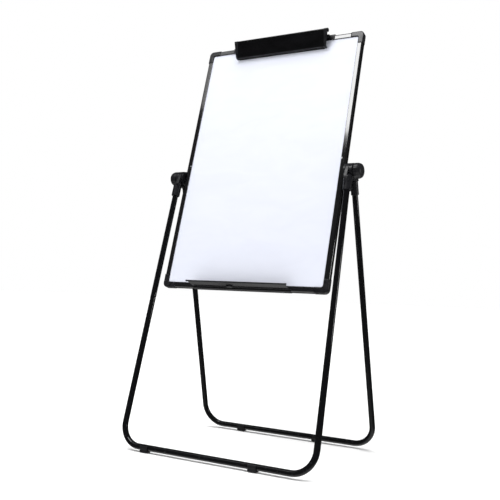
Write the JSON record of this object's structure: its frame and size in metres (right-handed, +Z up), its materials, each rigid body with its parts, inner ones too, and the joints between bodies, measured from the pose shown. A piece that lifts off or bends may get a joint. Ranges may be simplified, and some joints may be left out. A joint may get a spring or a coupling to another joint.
{
  "type": "easel",
  "caption": "U-stand whiteboard easel: a framed dry-erase board with a paper clamp and pen tray, tilting and sliding on two hubs between folding front and rear tube legs.",
  "frame": {"origin": "on the floor under the hub axis, at the middle of the footprint", "axes": "+Z up, -Y towards the person at the board, +X to that person's right"},
  "size_m": [0.719, 0.5216, 1.4072],
  "materials": {
    "white_enamel": "gloss white enamelled steel",
    "fibreboard": "raw",
    "back_steel": "satin galvanised steel",
    "rail_black": "gloss black coated aluminium",
    "corner_plastic": "gloss moulded",
    "screw_steel": "zinc plated",
    "hub_plastic": "satin moulded",
    "tray_black": "satin black coat",
    "trim_black": "matte",
    "rod_steel": "drawn steel",
    "clamp_black": "satin black coat on steel",
    "clamp_plastic": "satin moulded",
    "grip_rubber": "matte",
    "tube_black": "gloss black powder coat on steel",
    "foot_plastic": "soft matte",
    "friction_fibre": "fibre",
    "knob_plastic": "satin-gloss moulded",
    "insert_brass": "turned"
  },
  "bodies": {
    "front_legs": {"front_leg_tube": "tube_black", "front_knuckle_right": "hub_plastic", "front_knuckle_left": "hub_plastic", "front_foot_left": "foot_plastic", "front_foot_right": "foot_plastic", "front_socket_screws": "screw_steel", "friction_rings": "friction_fibre"},
    "rear_legs": {"rear_leg_tube": "tube_black", "rear_knuckle_right": "hub_plastic", "rear_knuckle_left": "hub_plastic", "rear_foot_left": "foot_plastic", "rear_foot_right": "foot_plastic", "rear_socket_screws": "screw_steel", "pivot_washers": "screw_steel"},
    "hub_slides": {"slide_block_right": "hub_plastic", "slide_block_left": "hub_plastic", "pivot_bolt_right": "rod_steel", "pivot_bolt_left": "rod_steel"},
    "board": {"writing_sheet": "white_enamel", "panel_core": "fibreboard", "back_sheet": "back_steel", "rail_right": "rail_black", "rail_left": "rail_black", "rail_bottom": "rail_black", "rail_top": "rail_black", "corner_bottom_right": "corner_plastic", "corner_bottom_left": "corner_plastic", "corner_top_right": "corner_plastic", "corner_top_left": "corner_plastic", "corner_screws": "screw_steel", "panel_screws": "screw_steel", "slot_stops": "hub_plastic", "pen_tray": "tray_black", "tray_edge_trim": "trim_black", "tray_trim_caps": "trim_black", "tray_lock_cap": "hub_plastic", "tray_screws": "screw_steel", "tray_nuts": "screw_steel", "clamp_rod": "rod_steel", "clamp_mount_right": "hub_plastic", "clamp_mount_left": "hub_plastic", "clamp_mount_screws": "screw_steel", "clamp_mount_nuts": "screw_steel"},
    "clamp": {"clamp_bar": "clamp_black", "clamp_grip_strip": "grip_rubber", "clamp_cap_right": "clamp_plastic", "clamp_cap_left": "clamp_plastic", "clamp_spring_right": "rod_steel", "clamp_spring_left": "rod_steel"},
    "knob_right": {"knob_right": "knob_plastic", "knob_insert_right": "insert_brass"},
    "knob_left": {"knob_left": "knob_plastic", "knob_insert_left": "insert_brass"}
  },
  "joints": [
    {"name": "legs_fold", "type": "hinge", "parent": "front_legs", "child": "rear_legs", "pos_m": [0, 0, 0.9015], "axis": [1, 0, 0], "range_deg": [-29.2, 0]},
    {"name": "board_tilt", "type": "hinge", "parent": "front_legs", "child": "hub_slides", "pos_m": [0, 0, 0.9015], "axis": [1, 0, 0], "range_deg": [-74.9, 15.1]},
    {"name": "board_height", "type": "slide", "parent": "hub_slides", "child": "board", "axis": [0, 0.2605, 0.9655], "range_m": [-0.03, 0.3]},
    {"name": "clamp_open", "type": "hinge", "parent": "board", "child": "clamp", "pos_m": [0, 0.11061, 1.38436], "axis": [-1, 0, 0], "range_deg": [0, 28], "stiffness_Nm_per_rad": 0.6, "springref_deg": -34.38},
    {"name": "knob_right_turn", "type": "hinge", "parent": "hub_slides", "child": "knob_right", "pos_m": [0.3457, 0, 0.9015], "axis": [1, 0, 0], "range_deg": [0, 360]},
    {"name": "knob_left_turn", "type": "hinge", "parent": "hub_slides", "child": "knob_left", "pos_m": [-0.3457, 0, 0.9015], "axis": [-1, 0, 0], "range_deg": [0, 360]}
  ]
}
